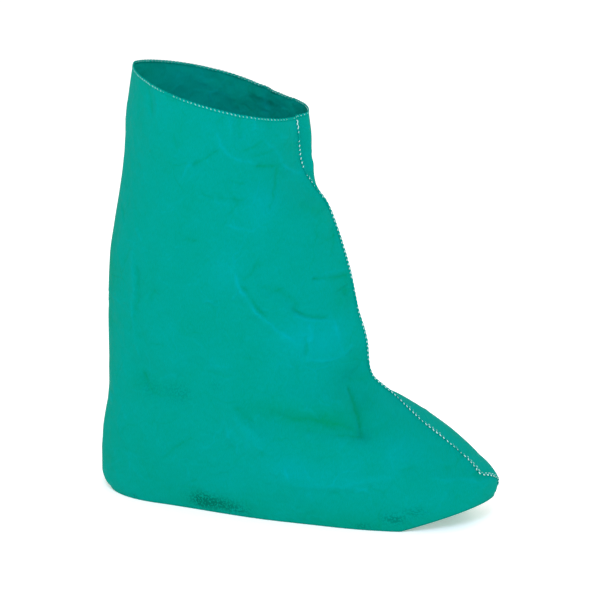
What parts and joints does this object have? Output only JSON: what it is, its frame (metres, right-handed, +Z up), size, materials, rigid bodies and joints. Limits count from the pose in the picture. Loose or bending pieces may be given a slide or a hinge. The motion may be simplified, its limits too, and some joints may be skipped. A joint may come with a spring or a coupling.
{
  "type": "disposable boot cover",
  "caption": "Tall slip-on cover of green nonwoven cloth for a boot and lower leg, with a wide open collar, a sewn seam down the front to a raised toe, and a cloth sole.",
  "frame": {"origin": "on the floor under the middle of the cover's length and width", "axes": "+X towards the toe, +Y towards the wearer's left, +Z up the leg"},
  "size_m": [0.4229, 0.1461, 0.4455],
  "materials": {
    "upper_cloth": "matte teal green nonwoven cloth",
    "sole_cloth": "matte teal green nonwoven cloth",
    "seam_cloth": "teal green cloth edge overlocked with white thread",
    "edge_thread": "white overlock thread over a teal green edge"
  },
  "bodies": {
    "root": {"upper": "upper_cloth", "sole": "sole_cloth", "front_seam": "seam_cloth", "collar_edge": "edge_thread"}
  },
  "joints": []
}
